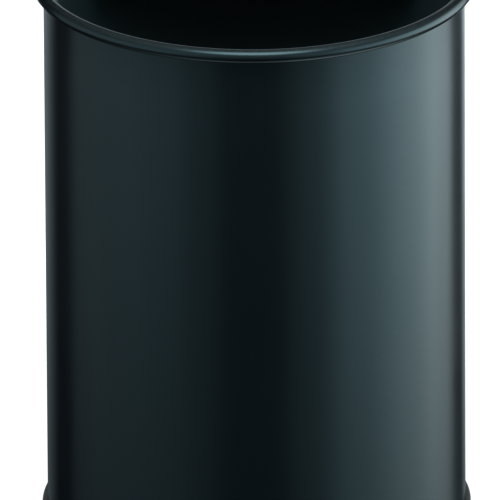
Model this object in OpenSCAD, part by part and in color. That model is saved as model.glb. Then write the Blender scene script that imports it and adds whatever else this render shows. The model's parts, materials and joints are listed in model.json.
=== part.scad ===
// Round ashtray bin: a sheet steel shell with a wired rim on a moulded base ring,
// a lift-out liner bucket with a swinging bail, and a segment-shaped ash tray that
// hangs on the back of the liner's rim. Millimetres, +Z up, +Y is the back, and the
// origin is the centre of the face that the bin stands on.

/* [Shell] */
// Outer diameter of the shell's straight wall
body_d = 240; // [220:2:300]
// Height of the whole bin
body_h = 340; // [300:5:420]
// Thickness of the sheet steel
sheet = 0.8; // [0.6:0.1:1.2]
// Outer radius of the curled rim
curl_r = 4; // [3:0.5:5]
// Width of the lapped seam down the back
seam_w = 12; // [8:1:16]

/* [Base ring] */
// Height of the moulded ring round the foot
ring_h = 16; // [12:1:20]
// How far the ring stands out from the shell
ring_out = 3; // [2:0.5:5]
// Width of the ring's flat underside
ring_foot_w = 17; // [12:1:24]
// Height of the floor plate above the ground
floor_z = 16; // [14:1:24]

/* [Liner] */
// Gap between the liner's wall and the shell at the rim
liner_gap = 6.2; // [5:0.2:9]
// How much narrower in radius the liner is at its foot
liner_taper = 3; // [0:0.5:6]
// How far the liner's rim lies below the shell's rim
liner_drop = 12; // [10:1:30]
// Outer radius of the liner's curled rim
liner_curl_r = 2.2; // [1.8:0.1:2.6]

/* [Bail] */
// Diameter of the bail's wire
wire_d = 4; // [3:0.5:5]
// Radius of the bail's bow
bow_r = 100; // [90:1:101]
// Distance of the pivots in front of the axis
pivot_y = 12; // [8:1:14]
// Depth of the pivots below the liner's rim
pivot_drop = 75; // [70:1:90]
// Angle above the horizontal at which the bail leans on the liner's front wall
bail_rest = 30; // [30:1:35]
// Diameter of the turned grip
grip_d = 14; // [10:1:16]
// Length of the grip along the bow
grip_l = 76; // [60:2:76]

/* [Ash tray] */
// Distance of the tray's straight front wall behind the axis
tray_front = 50; // [44:1:60]
// Depth of the tray
tray_depth = 24; // [16:1:30]
// Radius of the tray's corners in plan
tray_corner = 9; // [5:1:12]
// Width of the stub grille
grille_w = 104; // [80:2:120]
// Depth of the grille's face below the tray's rim
grille_drop = 8; // [6:1:12]
// Diameter of the grille's holes
hole_d = 4; // [3:0.5:5]
// Distance between neighbouring holes
hole_pitch = 9; // [7:0.5:12]
// Diameter of the grille's lifting knob
knob_d = 14; // [10:1:16]
// Height of the lifting knob
knob_h = 14; // [10:1:15]

/* [Hidden] */
$fn = 96;

body_r = body_d / 2;
inner_r = body_r - sheet;
curl_cr = inner_r + curl_r;
curl_z = body_h - curl_r;
ring_floor = 3;
snap_gap = 0.1;
fit_gap = 0.2;

liner_top_r = inner_r - liner_gap;
liner_foot_r = liner_top_r - liner_taper;
liner_foot_z = floor_z + sheet + fit_gap;
liner_floor_rise = 6;
liner_rim_z = body_h - liner_drop;
liner_curl_cr = liner_top_r - sheet + liner_curl_r;
liner_curl_z = liner_rim_z - liner_curl_r;
liner_floor_z = liner_foot_z + liner_floor_rise;

pivot_z = liner_rim_z - pivot_drop;
wire_r = wire_d / 2;
pin_bend = 5;
pin_gap = 0.05;
wall_hole_gap = 0.5;
head_r = 3.75;
head_t = 1.5;
head_gap = 0.6;
head_x = liner_top_r + head_gap;

lug_w = 20;
lug_h = 34;
lug_t = 1.5;
lug_r = liner_r_at(pivot_z - lug_h / 2) - sheet - fit_gap;
lug_turn = -asin(pivot_y / lug_r);
lug_corner = 4;
rivet_r = 1.5;
rivet_gap = 0.05;
rivet_dz = 11;
rivet_head_t = 1;
rivet_tail_t = 0.8;

tray_top_z = liner_rim_z + fit_gap + sheet;
tray_foot_z = tray_top_z - tray_depth;
tray_gap = 1.7;
tray_r = liner_top_r - sheet - tray_gap;
lip_gap = 0.4;
lip_drop = 7;
lip_r = liner_curl_cr + liner_curl_r + lip_gap;
lip_z = tray_top_z - lip_drop;
front_lip = 5.8;
grille_z = tray_top_z - grille_drop - sheet;
grille_gap = 1.2;
hole_border = 6;
knob_y = (tray_front + tray_r) / 2;
knob_base_z = grille_z + sheet;
insert_r = 3;
insert_h = 8;
press_gap = 0.02;
screw_r = 2;
screw_gap = 0.15;

function liner_r_at(z) = liner_foot_r + liner_taper * (z - liner_foot_z) / (liner_curl_z - liner_foot_z);

// ---- profiles that are turned round the axis ----

// Half of a curled edge: an open ring of sheet whose free edge stops short of the wall.
module curl_profile(r) {
    difference() {
        circle(r);
        circle(r - sheet);
        polygon([[0, 0], [-2 * r, 0], [-2 * r, -2 * r], [-0.7 * r, -2 * r]]);
    }
}

// A flat disc of sheet whose edge is turned down to the height foot.
module pan_profile(r, z, foot) {
    translate([0, z]) square([r, sheet]);
    translate([r - sheet, foot]) square([sheet, z - foot + sheet / 2]);
}

// A rectangle with its upper outer corner rounded.
module rounded_top(w, h, r) {
    difference() {
        square([w, h]);
        translate([w - r, h - r]) difference() {
            square([r + 1, r + 1]);
            circle(r);
        }
    }
}

// ---- the shell ----

module outer_body() color("#15191c") {
    rotate_extrude() {
        translate([inner_r, ring_floor]) square([sheet, curl_z - ring_floor]);
        translate([curl_cr, curl_z]) curl_profile(curl_r);
    }
    // The lap stops short of the base ring and of the curl.
    seam_low = ring_h + 4;
    seam_high = curl_z - curl_r - 2;
    seam_half = asin(seam_w / 2 / body_r);
    rotate([0, 0, 90 - seam_half]) rotate_extrude(angle = 2 * seam_half)
        translate([body_r - sheet / 2, seam_low]) square([1.4 * sheet, seam_high - seam_low]);
}

module rim_wire() color("silver")
    rotate_extrude() translate([curl_cr, curl_z]) circle(curl_r - sheet - snap_gap);

// The floor is pressed up into the shell and stiffened by a raised ring.
module base_plate() color("#15191c") {
    plate_r = inner_r - snap_gap;
    swage_at = 0.6 * body_r;
    swage_r = 4;
    rotate_extrude() difference() {
        union() {
            pan_profile(plate_r, floor_z, ring_floor + 1);
            translate([swage_at, floor_z]) intersection() {
                circle(swage_r);
                translate([-swage_r, 0]) square([2 * swage_r, swage_r + 1]);
            }
        }
        translate([swage_at, floor_z]) circle(swage_r - sheet);
    }
}

// The ring clips on to the edge that wall and floor plate share.
module base_ring() color("#0d0d0e") {
    outer_r = body_r + ring_out;
    groove_in = inner_r - snap_gap - sheet - snap_gap;
    tongue_w = 2;
    tongue_h = 5;
    overlap = 0.5;
    rotate_extrude() {
        translate([outer_r - ring_foot_w, 0]) square([ring_foot_w - ring_out / 2, ring_floor]);
        translate([body_r + snap_gap, 0]) rounded_top(ring_out - snap_gap, ring_h, 2);
        translate([groove_in - tongue_w, ring_floor - overlap]) square([tongue_w, tongue_h]);
    }
}

// ---- the liner ----

module liner_bucket() color("#1b1f22") difference() {
    rotate_extrude() {
        polygon([[liner_foot_r - sheet, liner_foot_z], [liner_foot_r, liner_foot_z],
                 [liner_top_r, liner_curl_z], [liner_top_r - sheet, liner_curl_z]]);
        translate([liner_curl_cr, liner_curl_z]) curl_profile(liner_curl_r);
    }
    for (side = [-1, 1]) {
        pivot_hole(side, wall_hole_gap);
        rivet_holes(side);
    }
}

module liner_floor() color("#1b1f22")
    rotate_extrude() pan_profile(liner_foot_r - sheet - snap_gap, liner_floor_z, liner_foot_z + 1);

// The pin runs in the lug's hole; the hole in the wall behind it is wider and only clears it.
module pivot_hole(side, gap)
    translate([side * (bow_r + 4), -pivot_y, pivot_z]) rotate([0, side * 90, 0])
        cylinder(r = wire_r + gap, h = 16);

module at_rivets(side)
    for (up = [-1, 1])
        rotate([0, 0, side > 0 ? lug_turn : 180 - lug_turn])
            translate([0, 0, pivot_z + up * rivet_dz]) rotate([0, 90, 0]) children();

module rivet_holes(side)
    at_rivets(side) translate([0, 0, bow_r]) cylinder(r = rivet_r + rivet_gap, h = 20);

// A curved doubling plate that stiffens the wall round one pivot.
module bail_lug(side) color("silver") difference() {
    intersection() {
        translate([0, 0, pivot_z - lug_h / 2]) difference() {
            cylinder(r = lug_r, h = lug_h);
            translate([0, 0, -1]) cylinder(r = lug_r - lug_t, h = lug_h + 2);
        }
        rotate([0, 0, side > 0 ? lug_turn : 180 - lug_turn])
            translate([bow_r, 0, pivot_z]) rotate([90, 0, 90]) linear_extrude(20)
                cut_corners(lug_w / 2, lug_h / 2, lug_corner);
    }
    pivot_hole(side, pin_gap);
    rivet_holes(side);
}

// A rectangle of half width w and half height h with its corners cut off.
module cut_corners(w, h, c)
    polygon([[w, h - c], [w - c, h], [c - w, h], [-w, h - c],
             [-w, c - h], [c - w, -h], [w - c, -h], [w, c - h]]);

module bail_lug_left() bail_lug(-1);
module bail_lug_right() bail_lug(1);

// Four rivets, two through each lug and the wall behind it.
module lug_rivets() color("gainsboro")
    for (side = [-1, 1]) at_rivets(side) {
        inside = lug_r - lug_t - fit_gap;
        outside = liner_r_at(pivot_z) + fit_gap;
        translate([0, 0, inside - rivet_head_t / 2])
            cylinder(r = rivet_r, h = outside - inside + rivet_head_t);
        translate([0, 0, inside - rivet_head_t]) cylinder(r1 = 2, r2 = 3, h = rivet_head_t);
        translate([0, 0, outside]) cylinder(r1 = 2.8, r2 = 2.4, h = rivet_tail_t);
    }

// ---- the bail ----

// Places what is drawn in the bail's own plane: X along the pivots, -Y towards the grip.
module in_bail_plane()
    translate([0, -pivot_y, pivot_z]) rotate([-bail_rest, 0, 0]) children();

// A bend of radius r about the point at, from one angle to another, of whatever is drawn.
module bend(at, r, from, to)
    translate(at) rotate([0, 0, from]) rotate_extrude(angle = to - from)
        translate([r, 0]) children();

// A half-round bow whose ends are bent outwards into the pins that the bail turns on.
module bail_wire() color("silver") in_bail_plane() {
    bend([0, -pin_bend, 0], bow_r, -180, 0) circle(wire_r);
    for (side = [0, 1]) mirror([side, 0, 0]) {
        bend([bow_r + pin_bend, -pin_bend, 0], pin_bend, 90, 180) circle(wire_r);
        translate([bow_r + pin_bend, 0, 0]) rotate([0, 90, 0])
            cylinder(r = wire_r, h = head_x - bow_r - pin_bend + head_t / 2);
        translate([head_x, 0, 0]) rotate([0, 90, 0]) cylinder(r = head_r, h = head_t);
    }
}

// A moulded tube that follows the bow.
module bail_grip() color("#141414") in_bail_plane() {
    grip_angle = grip_l / 2 / bow_r * 180 / PI;
    bend([0, -pin_bend, 0], bow_r, -90 - grip_angle, -90 + grip_angle) difference() {
        circle(grip_d / 2);
        circle(wire_r + fit_gap);
    }
}

// ---- the ash tray ----

// The tray's outline in plan, taken in by inset: a segment of a circle with rounded corners.
module tray_plan(inset, corner)
    offset(r = corner, $fn = 48) offset(delta = -corner) intersection() {
        circle(tray_r - inset, $fn = 180);
        translate([-body_r, tray_front + inset]) square([body_d, body_r]);
    }

module ash_tray() color("lightgray") {
    difference() {
        translate([0, 0, tray_foot_z]) linear_extrude(tray_depth) tray_plan(0, tray_corner);
        translate([0, 0, tray_foot_z + sheet]) linear_extrude(tray_depth)
            tray_plan(sheet, tray_corner - sheet);
    }
    // The flange that rests on the liner's rim, and the lip that hooks over it.
    lip_half = acos((tray_front + 2 * tray_corner) / lip_r);
    rotate([0, 0, 90 - lip_half]) rotate_extrude(angle = 2 * lip_half) {
        translate([tray_r - sheet / 2, tray_top_z - sheet]) square([lip_r - tray_r + sheet, sheet]);
        translate([lip_r, lip_z]) square([sheet, tray_top_z - lip_z]);
    }
    // The stiffening flange along the front wall.
    front_half = sqrt(pow(tray_r, 2) - pow(tray_front, 2)) - 2 * tray_corner;
    translate([-front_half, tray_front - front_lip, tray_top_z - sheet])
        cube([2 * front_half, front_lip + sheet / 2, sheet]);
}

module grille_plan(inset)
    intersection() {
        tray_plan(sheet + grille_gap + inset, tray_corner - sheet);
        translate([-grille_w / 2 + inset, 0]) square([grille_w - 2 * inset, body_r]);
    }

// The upturned perforated cover on which cigarettes are stubbed out.
module stub_grille() color("gainsboro") difference() {
    translate([0, 0, tray_foot_z + sheet + fit_gap])
        linear_extrude(grille_z - tray_foot_z - fit_gap) grille_plan(0);
    translate([0, 0, tray_foot_z])
        linear_extrude(grille_z - tray_foot_z) grille_plan(sheet);
    grille_holes();
    translate([0, knob_y, tray_foot_z]) cylinder(r = screw_r + screw_gap, h = tray_depth);
}

// Staggered rows of holes, leaving a clear border and a clear seat for the knob.
module grille_holes() {
    row_step = hole_pitch * sin(60);
    first = tray_front + sheet + grille_gap + hole_border + hole_d / 2;
    knob_seat = knob_d / 2 + 1;
    for (row = [0 : 8], col = [-8 : 8]) {
        x = (col + (row % 2) / 2) * hole_pitch;
        y = first + row * row_step;
        in_outline = norm([x, y]) < tray_r - sheet - grille_gap - hole_border
            && abs(x) < grille_w / 2 - hole_border;
        off_knob = norm([x, y - knob_y]) > knob_seat + hole_d / 2;
        if (in_outline && off_knob)
            translate([x, y, tray_foot_z]) cylinder(r = hole_d / 2, h = tray_depth, $fn = 24);
    }
}

// ---- the grille's knob ----

module at_knob(z) translate([0, knob_y, z]) children();

// A foot, a waist for the fingers and a rounded cap, with a blind hole for the insert.
module grille_knob() color("#101010") at_knob(knob_base_z) {
    foot_h = 1.5;
    waist_r = knob_d / 2 - 2;
    cap_h = 6;
    rotate_extrude() difference() {
        union() {
            square([knob_d / 2 - 0.5, foot_h]);
            square([waist_r, knob_h - cap_h + 1]);
            translate([0, knob_h - cap_h]) rounded_top(knob_d / 2, cap_h, 2);
        }
        translate([-1, -1]) square([insert_r + press_gap + 1, insert_h + 1]);
    }
}

module knob_insert() color("goldenrod") at_knob(knob_base_z) difference() {
    cylinder(r = insert_r, h = insert_h);
    translate([0, 0, -1]) cylinder(r = screw_r + press_gap, h = insert_h + 2);
}

module knob_washer() color("silver") at_knob(grille_z - sheet) difference() {
    cylinder(r = 4.5, h = sheet);
    translate([0, 0, -1]) cylinder(r = screw_r + screw_gap, h = sheet + 2);
}

// A slotted screw, put in from below.
module knob_screw() color("silver") at_knob(grille_z - sheet) {
    screw_l = 8;
    screw_head_h = 2.4;
    slot_w = 1;
    slot_depth = 1;
    difference() {
        union() {
            translate([0, 0, -screw_head_h]) cylinder(r1 = 3, r2 = 3.6, h = screw_head_h);
            cylinder(r = screw_r, h = screw_l);
        }
        translate([-4, -slot_w / 2, -screw_head_h - 1]) cube([8, slot_w, slot_depth + 1]);
    }
}

outer_body();
rim_wire();
base_plate();
base_ring();
liner_bucket();
liner_floor();
bail_lug_left();
bail_lug_right();
lug_rivets();
bail_wire();
bail_grip();
ash_tray();
stub_grille();
grille_knob();
knob_insert();
knob_screw();
knob_washer();
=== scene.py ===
# %% [markdown]
# # A round ashtray bin
# This lesson dresses a small steel bin. The frame comes from CAD and never moves, and every
# piece modelled here stands in the place of a CAD node. The bin has a powder-coated shell with
# a wired rim, a dull plastic ring at its foot, a lift-out liner with a bail, and a stainless
# ash tray that hangs on the back of the liner.

import json
import math

import bmesh
import bpy
from mathutils import Matrix, Vector


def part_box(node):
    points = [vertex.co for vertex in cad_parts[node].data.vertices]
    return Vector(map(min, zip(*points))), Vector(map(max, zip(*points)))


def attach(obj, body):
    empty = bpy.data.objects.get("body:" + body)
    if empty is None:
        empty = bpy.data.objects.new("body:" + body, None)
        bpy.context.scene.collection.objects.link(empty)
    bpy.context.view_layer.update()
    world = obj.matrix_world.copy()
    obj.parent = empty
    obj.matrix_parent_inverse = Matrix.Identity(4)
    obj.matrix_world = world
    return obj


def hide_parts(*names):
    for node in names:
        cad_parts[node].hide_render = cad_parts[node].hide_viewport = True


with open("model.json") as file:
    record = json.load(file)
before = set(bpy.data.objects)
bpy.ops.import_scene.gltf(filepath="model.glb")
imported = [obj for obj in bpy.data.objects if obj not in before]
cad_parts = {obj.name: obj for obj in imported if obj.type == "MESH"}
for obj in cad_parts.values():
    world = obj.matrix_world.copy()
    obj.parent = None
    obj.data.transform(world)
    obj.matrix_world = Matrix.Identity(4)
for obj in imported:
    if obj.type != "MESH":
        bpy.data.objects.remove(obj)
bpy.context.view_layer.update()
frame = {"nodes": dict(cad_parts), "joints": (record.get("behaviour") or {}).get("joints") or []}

# %% [markdown]
# ## Drawing a section and turning it
# Most of the bin is turned or rolled sheet, so most pieces start as a section in the XZ plane.
# A section could be typed in as a list of points. Here it is drawn instead, with one function
# for a straight stretch and one for an arc, so that each bend keeps its true radius. An operator
# returns vertices and edges mixed, so two small functions pick them out.

# %% Section tools
def verts_of(parts):
    return [part for part in parts if isinstance(part, bmesh.types.BMVert)]


def edges_of(parts):
    return [part for part in parts if isinstance(part, bmesh.types.BMEdge)]


def sweep(bm, geom, centre, degrees, parts, axis=(0, 0, 1)):
    """Sweeps vertices or edges round an axis and returns what the sweep ends with."""
    made = bmesh.ops.spin(
        bm, geom=geom, cent=centre, axis=axis, dvec=(0, 0, 0), angle=math.radians(degrees),
        steps=parts, use_duplicate=False)
    return made["geom_last"]


def start_section(x, z):
    """A new bmesh with one vertex, the section's first point."""
    bm = bmesh.new()
    return bm, bm.verts.new((x, 0, z))


def line(bm, tip, x, z, parts=1):
    """Draws a straight stretch from tip to x, z and returns its end."""
    step = (Vector((x, 0, z)) - tip.co) / parts
    for _ in range(parts):
        tip = bmesh.ops.extrude_vert_indiv(bm, verts=[tip])["verts"][0]
        bmesh.ops.translate(bm, verts=[tip], vec=step)
    return tip


def arc(bm, tip, x, z, degrees, parts=12):
    """Draws an arc from tip about x, z. A positive angle runs from upwards to outwards."""
    return verts_of(sweep(bm, [tip], (x, 0, z), degrees, parts, axis=(0, 1, 0)))[0]


def close(bm, tip, first):
    """Joins the section's end to its first point."""
    bm.edges.new((tip, first))


def round_off(bm, geom, offset, segments, affect="EDGES"):
    """Bevels edges or corners with a round profile."""
    bmesh.ops.bevel(
        bm, geom=geom, offset=offset, affect=affect, segments=segments, profile=0.5, material=-1)


# %% [markdown]
# A full turn is a spin with its last ring merged into its first. Sheet gets its thickness
# afterwards. The solidify operator puts the second skin behind the faces, so the surface is first
# made to face the right way: a pan's flat bottom faces up, and a wall's outermost face outwards.

# %% Turning and thickening
ROUND_STEPS = 256
MERGE = 1e-6
Z_ALONG_X = Matrix.Rotation(math.radians(90), 4, "Y")
# Two faces that meet at more than this angle, in radians, make a square edge.
SQUARE = 1.0


def turn(bm, steps=ROUND_STEPS, degrees=360.0, start=0.0):
    """Turns the section about the Z axis."""
    if start:
        bmesh.ops.rotate(
            bm, verts=bm.verts[:], cent=(0, 0, 0),
            matrix=Matrix.Rotation(math.radians(start), 3, "Z"))
    bmesh.ops.spin(
        bm, geom=bm.verts[:] + bm.edges[:], cent=(0, 0, 0), axis=(0, 0, 1), dvec=(0, 0, 0),
        angle=math.radians(degrees), steps=steps, use_merge=degrees == 360.0, use_duplicate=False)
    bmesh.ops.remove_doubles(bm, verts=bm.verts[:], dist=MERGE)
    bmesh.ops.recalc_face_normals(bm, faces=bm.faces[:])


def thicken(bm, thickness, flat=False):
    """Gives a surface its thickness, below it if it is flat and else inside its outermost face."""
    bm.normal_update()
    if flat:
        widest = max(bm.faces, key=lambda face: abs(face.normal.z) * face.calc_area())
        wrong = widest.normal.z < 0
    else:
        outermost = max(bm.faces, key=lambda face: face.calc_center_median().xy.length)
        wrong = outermost.normal.xy.dot(outermost.calc_center_median().xy) < 0
    if wrong:
        bmesh.ops.reverse_faces(bm, faces=bm.faces[:])
    bmesh.ops.solidify(bm, geom=bm.faces[:], thickness=thickness)


# %% [markdown]
# ## Making a piece
# A finished bmesh becomes an object at the origin. It is told which CAD body carries it, which
# CAD nodes it stands for and which material it has. Edges sharper than a chosen
# angle stay crisp, and everything else is shaded smooth.

# %% Piece tool
def new_object(name, bm):
    """Makes a linked object of a bmesh, at the origin, and frees the bmesh."""
    mesh = bpy.data.meshes.new(name)
    bm.to_mesh(mesh)
    bm.free()
    made = bpy.data.objects.new(name, mesh)
    bpy.context.scene.collection.objects.link(made)
    return made


def piece(name, bm, body, material, stands_for=(), crisp=35):
    """Makes the object, puts it on its body and returns it."""
    if bm.calc_volume(signed=True) < 0:
        bmesh.ops.reverse_faces(bm, faces=bm.faces[:])
    made = new_object(name, bm)
    mesh = made.data
    mesh.shade_smooth()
    mesh.set_sharp_from_angle(angle=math.radians(crisp))
    mesh.materials.append(material)
    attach(made, body)
    if stands_for:
        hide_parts(*stands_for)
    triangles = sum(len(face.vertices) - 2 for face in mesh.polygons)
    heights = [vertex.co.z * 1000 for vertex in mesh.vertices]
    print(f"{name}: {triangles} triangles, {min(heights):.2f} to {max(heights):.2f} mm high")
    return made


# %% [markdown]
# ## The camera
# The bin is seen from a little above and from far away, so that its sides stay parallel. A long
# lens does that. The far camera sees a patch of space as wide as view_width at the bin.

# %% Camera
CAMERA_DOWN = math.radians(22)
LENS = 1650
view_width = 0.286
aim = Vector((-0.0031, 0, 0.1685))
ROLL = math.radians(-0.3)

camera_data = bpy.data.cameras.new("studio_camera")
camera_data.sensor_width = 36
camera_data.lens = LENS
camera_distance = view_width * LENS / camera_data.sensor_width
camera_data.clip_end = 2 * camera_distance
camera = bpy.data.objects.new("studio_camera", camera_data)
bpy.context.scene.collection.objects.link(camera)
backwards = Vector((0, -math.cos(CAMERA_DOWN), math.sin(CAMERA_DOWN)))
camera.location = aim + backwards * camera_distance
camera.rotation_mode = "QUATERNION"
camera.rotation_quaternion = Matrix.Rotation(ROLL, 3, backwards).to_quaternion() @ (
    -backwards).to_track_quat("-Z", "Y")
bpy.context.scene.camera = camera
print(f"camera {camera_distance:.2f} m away")

# %% [markdown]
# ## Node tools
# A finish that several materials share is a node group with named sockets. These two functions
# make a group and add a node with its settings, so that each finish below reads as a short list.

# %% Node tools
def new_group(name, inputs, outputs):
    """An empty node group. inputs is {name: value}, outputs is a list of names."""
    tree = bpy.data.node_groups.new(name, "ShaderNodeTree")
    for title, value in inputs.items():
        socket = tree.interface.new_socket(name=title, in_out="INPUT", socket_type="NodeSocketFloat")
        socket.default_value = value
    for title in outputs:
        tree.interface.new_socket(name=title, in_out="OUTPUT", socket_type="NodeSocketFloat")
    return tree, tree.nodes.new("NodeGroupInput").outputs, tree.nodes.new("NodeGroupOutput").inputs


def add(tree, kind, values=None, **settings):
    """Adds a node. values are its sockets, each a plain value or another node's output."""
    node = tree.nodes.new(kind)
    for key, value in settings.items():
        setattr(node, key, value)
    for key, value in (values or {}).items():
        if isinstance(value, bpy.types.NodeSocket):
            tree.links.new(value, node.inputs[key])
        else:
            node.inputs[key].default_value = value
    return node


def math_node(tree, operation, a, b=0.0, clamp=False):
    """One calculation, as its output socket."""
    return add(tree, "ShaderNodeMath", {0: a, 1: b}, operation=operation, use_clamp=clamp).outputs[0]


def spread(tree, value, low, high, to_low=0.0, to_high=1.0):
    """Carries value from the range low to high over to another range, held at its ends."""
    values = {"Value": value, "From Min": low, "From Max": high, "To Min": to_low, "To Max": to_high}
    return add(tree, "ShaderNodeMapRange", values, interpolation_type="SMOOTHSTEP").outputs[0]


def noise(tree, where, scale, detail=2.0, roughness=0.5):
    """Noise at a place, as its output socket."""
    values = {"Vector": where, "Scale": scale, "Detail": detail, "Roughness": roughness}
    return add(tree, "ShaderNodeTexNoise", values).outputs[0]


def object_place(tree):
    return tree.nodes.new("ShaderNodeTexCoord").outputs["Object"]


# %% [markdown]
# ## Shared finishes
# Each finish that several materials share is a group with its own sockets, and each material
# below sets its own amounts. Powder coat comes first. It melts into a skin with a fine ripple,
# called orange peel, so its height is one slow noise with a little of a faster one on top.

# %% Orange peel
GRAIN_PER_RIPPLE = 6.0

peel_group, given, made = new_group(
    "orange_peel", {"Ripples per metre": 420.0, "Grain": 0.25}, ["Height"])
where = object_place(peel_group)
ripple = noise(peel_group, where, given["Ripples per metre"], detail=1.5)
grain_scale = math_node(peel_group, "MULTIPLY", given["Ripples per metre"], GRAIN_PER_RIPPLE)
fine = noise(peel_group, where, grain_scale, detail=1.0)
grain = math_node(peel_group, "MULTIPLY", fine, given["Grain"])
peel_group.links.new(math_node(peel_group, "ADD", ripple, grain), made["Height"])

# %% [markdown]
# No real surface is equally rough all over. A cloudy tone wanders between two values in soft
# patches. It mostly feeds a roughness, and the floor uses it for its colour.

# %% Cloudy tone
cloud_group, given, made = new_group(
    "cloudy_tone", {"Patches per metre": 14.0, "Low": 0.3, "High": 0.4}, ["Value"])
patches = noise(
    cloud_group, object_place(cloud_group), given["Patches per metre"], detail=4.0, roughness=0.6)
even = spread(cloud_group, patches, 0.35, 0.65)
span = math_node(cloud_group, "SUBTRACT", given["High"], given["Low"])
tone = math_node(cloud_group, "ADD", math_node(cloud_group, "MULTIPLY", even, span), given["Low"])
cloud_group.links.new(tone, made["Value"])

# %% [markdown]
# Handling leaves faint rubs. They are short streaks that lie nearly level, because a bin is
# rubbed as it is carried and turned, and they gather in a few places. One noise is squeezed to
# make the streaks, and a slower one says where they are.

# %% Rubs
STREAKS_PER_METRE = (60, 60, 900)
STREAK_TILT = (0.3, 0.2, 0)

rub_group, given, made = new_group("rubs", {"Amount": 0.3}, ["Mask"])
squeezed = {"Vector": object_place(rub_group), "Scale": STREAKS_PER_METRE, "Rotation": STREAK_TILT}
stretched = add(rub_group, "ShaderNodeMapping", squeezed)
streaks = noise(rub_group, stretched.outputs[0], 1.0, detail=3.0, roughness=0.7)
places = noise(rub_group, object_place(rub_group), 22.0, detail=2.0)
thin_streaks = spread(rub_group, streaks, 0.6, 0.72)
few_places = spread(rub_group, places, 0.5, 0.68)
both = math_node(rub_group, "MULTIPLY", thin_streaks, few_places)
rub_group.links.new(math_node(rub_group, "MULTIPLY", both, given["Amount"], clamp=True), made["Mask"])

# %% [markdown]
# Dust settles on what faces up. The normal's Z says how level the surface is, and the dust is
# part specks and part thin film.

# %% Dust
SPECK_SHARE = 0.6
FILM_SHARE = 0.5

dust_group, given, made = new_group("dust", {"Amount": 0.3, "Specks per metre": 700.0}, ["Mask"])
normal = dust_group.nodes.new("ShaderNodeNewGeometry").outputs["Normal"]
up = add(dust_group, "ShaderNodeSeparateXYZ", {0: normal})
lying = spread(dust_group, up.outputs["Z"], 0.3, 0.95)
speckle = noise(dust_group, object_place(dust_group), given["Specks per metre"], detail=3.0)
specks = math_node(dust_group, "MULTIPLY", spread(dust_group, speckle, 0.45, 0.75), SPECK_SHARE)
cloudy_film = noise(dust_group, object_place(dust_group), 30.0, detail=3.0)
film = math_node(dust_group, "MULTIPLY", cloudy_film, FILM_SHARE)
laid = math_node(dust_group, "MULTIPLY", math_node(dust_group, "ADD", specks, film), lying)
dust_group.links.new(math_node(dust_group, "MULTIPLY", laid, given["Amount"], clamp=True), made["Mask"])

# %% [markdown]
# Rolled stainless has long hair lines. A noise that changes slowly along one axis and quickly
# along the others draws them. Its height feeds the bump, and its tone varies the colour.

# %% Hair lines
line_group, given, made = new_group(
    "hair_lines", {"Along X": 6.0, "Along Y": 900.0, "Along Z": 900.0}, ["Height", "Tone"])
per_axis = {0: given["Along X"], 1: given["Along Y"], 2: given["Along Z"]}
axes = add(line_group, "ShaderNodeCombineXYZ", per_axis)
scaled = add(
    line_group, "ShaderNodeVectorMath", {0: object_place(line_group), 1: axes.outputs[0]},
    operation="MULTIPLY")
hairs = noise(line_group, scaled.outputs[0], 1.0, detail=3.0, roughness=0.65)
line_group.links.new(hairs, made["Height"])
line_group.links.new(spread(line_group, hairs, 0.3, 0.7), made["Tone"])
print("groups:", sorted(group.name for group in bpy.data.node_groups))

# %% [markdown]
# ## Materials
# The shader stays in the material, and the groups feed it. A value that is the same all over is
# set straight on the shader's socket. Dust and rubs change the colour and the roughness, and the
# ripple goes through a Bump node.

# %% Material tools
def new_material(name, **constants):
    """A material with its tree, its shader and the constants set on the shader's own sockets."""
    material = bpy.data.materials.new(name)
    material.use_nodes = True
    tree = material.node_tree
    shader = next(node for node in tree.nodes if node.type == "BSDF_PRINCIPLED")
    for key, value in constants.items():
        shader.inputs[key.replace("_", " ")].default_value = value
    return material, tree, shader


def use(tree, group, **values):
    """Places a group in a material with its own values."""
    node = add(tree, "ShaderNodeGroup", node_tree=group)
    for key, value in values.items():
        node.inputs[key.replace("_", " ")].default_value = value
    return node.outputs


def bump(tree, shader, height, depth):
    """Feeds a height to the shader's normal. depth is in metres."""
    values = {"Height": height, "Distance": depth, "Strength": 1.0}
    tree.links.new(add(tree, "ShaderNodeBump", values).outputs[0], shader.inputs["Normal"])


DUST = (0.30, 0.29, 0.27)
DUSTY_COAT_ROUGHNESS = 0.5
DUSTY_METAL_ROUGHNESS = 0.4
HAIR_SHADE = 0.82
METAL_PATCHES = 35.0
PLAIN_SHEEN = (1, 1, 1, 1)


def mixed_colour(tree, share, plain, other):
    """The plain colour with a share of the other, as a colour output."""
    values = {0: share, 6: plain, 7: other}
    return add(tree, "ShaderNodeMix", values, data_type="RGBA").outputs[2]


def coated(
        name, colour, rubbed, low, high, dusty, rubs=0.3, ripples=420.0, depth=0.00002,
        sheen=PLAIN_SHEEN):
    """Powder-coated sheet, or moulded plastic with a fine grain. sheen tints its reflections."""
    material, tree, shader = new_material(name, Metallic=0.0, IOR=1.5, Specular_Tint=sheen)
    rub = use(tree, rub_group, Amount=rubs)["Mask"]
    dust = use(tree, dust_group, Amount=dusty)["Mask"]
    worn = mixed_colour(tree, rub, (*colour, 1), (*rubbed, 1))
    tree.links.new(mixed_colour(tree, dust, worn, (*DUST, 1)), shader.inputs["Base Color"])
    tone = use(tree, cloud_group, Low=low, High=high)["Value"]
    dulled = math_node(tree, "MULTIPLY", dust, DUSTY_COAT_ROUGHNESS)
    rough = math_node(tree, "ADD", tone, dulled, clamp=True)
    tree.links.new(rough, shader.inputs["Roughness"])
    bump(tree, shader, use(tree, peel_group, Ripples_per_metre=ripples)["Height"], depth)
    return material


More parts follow.
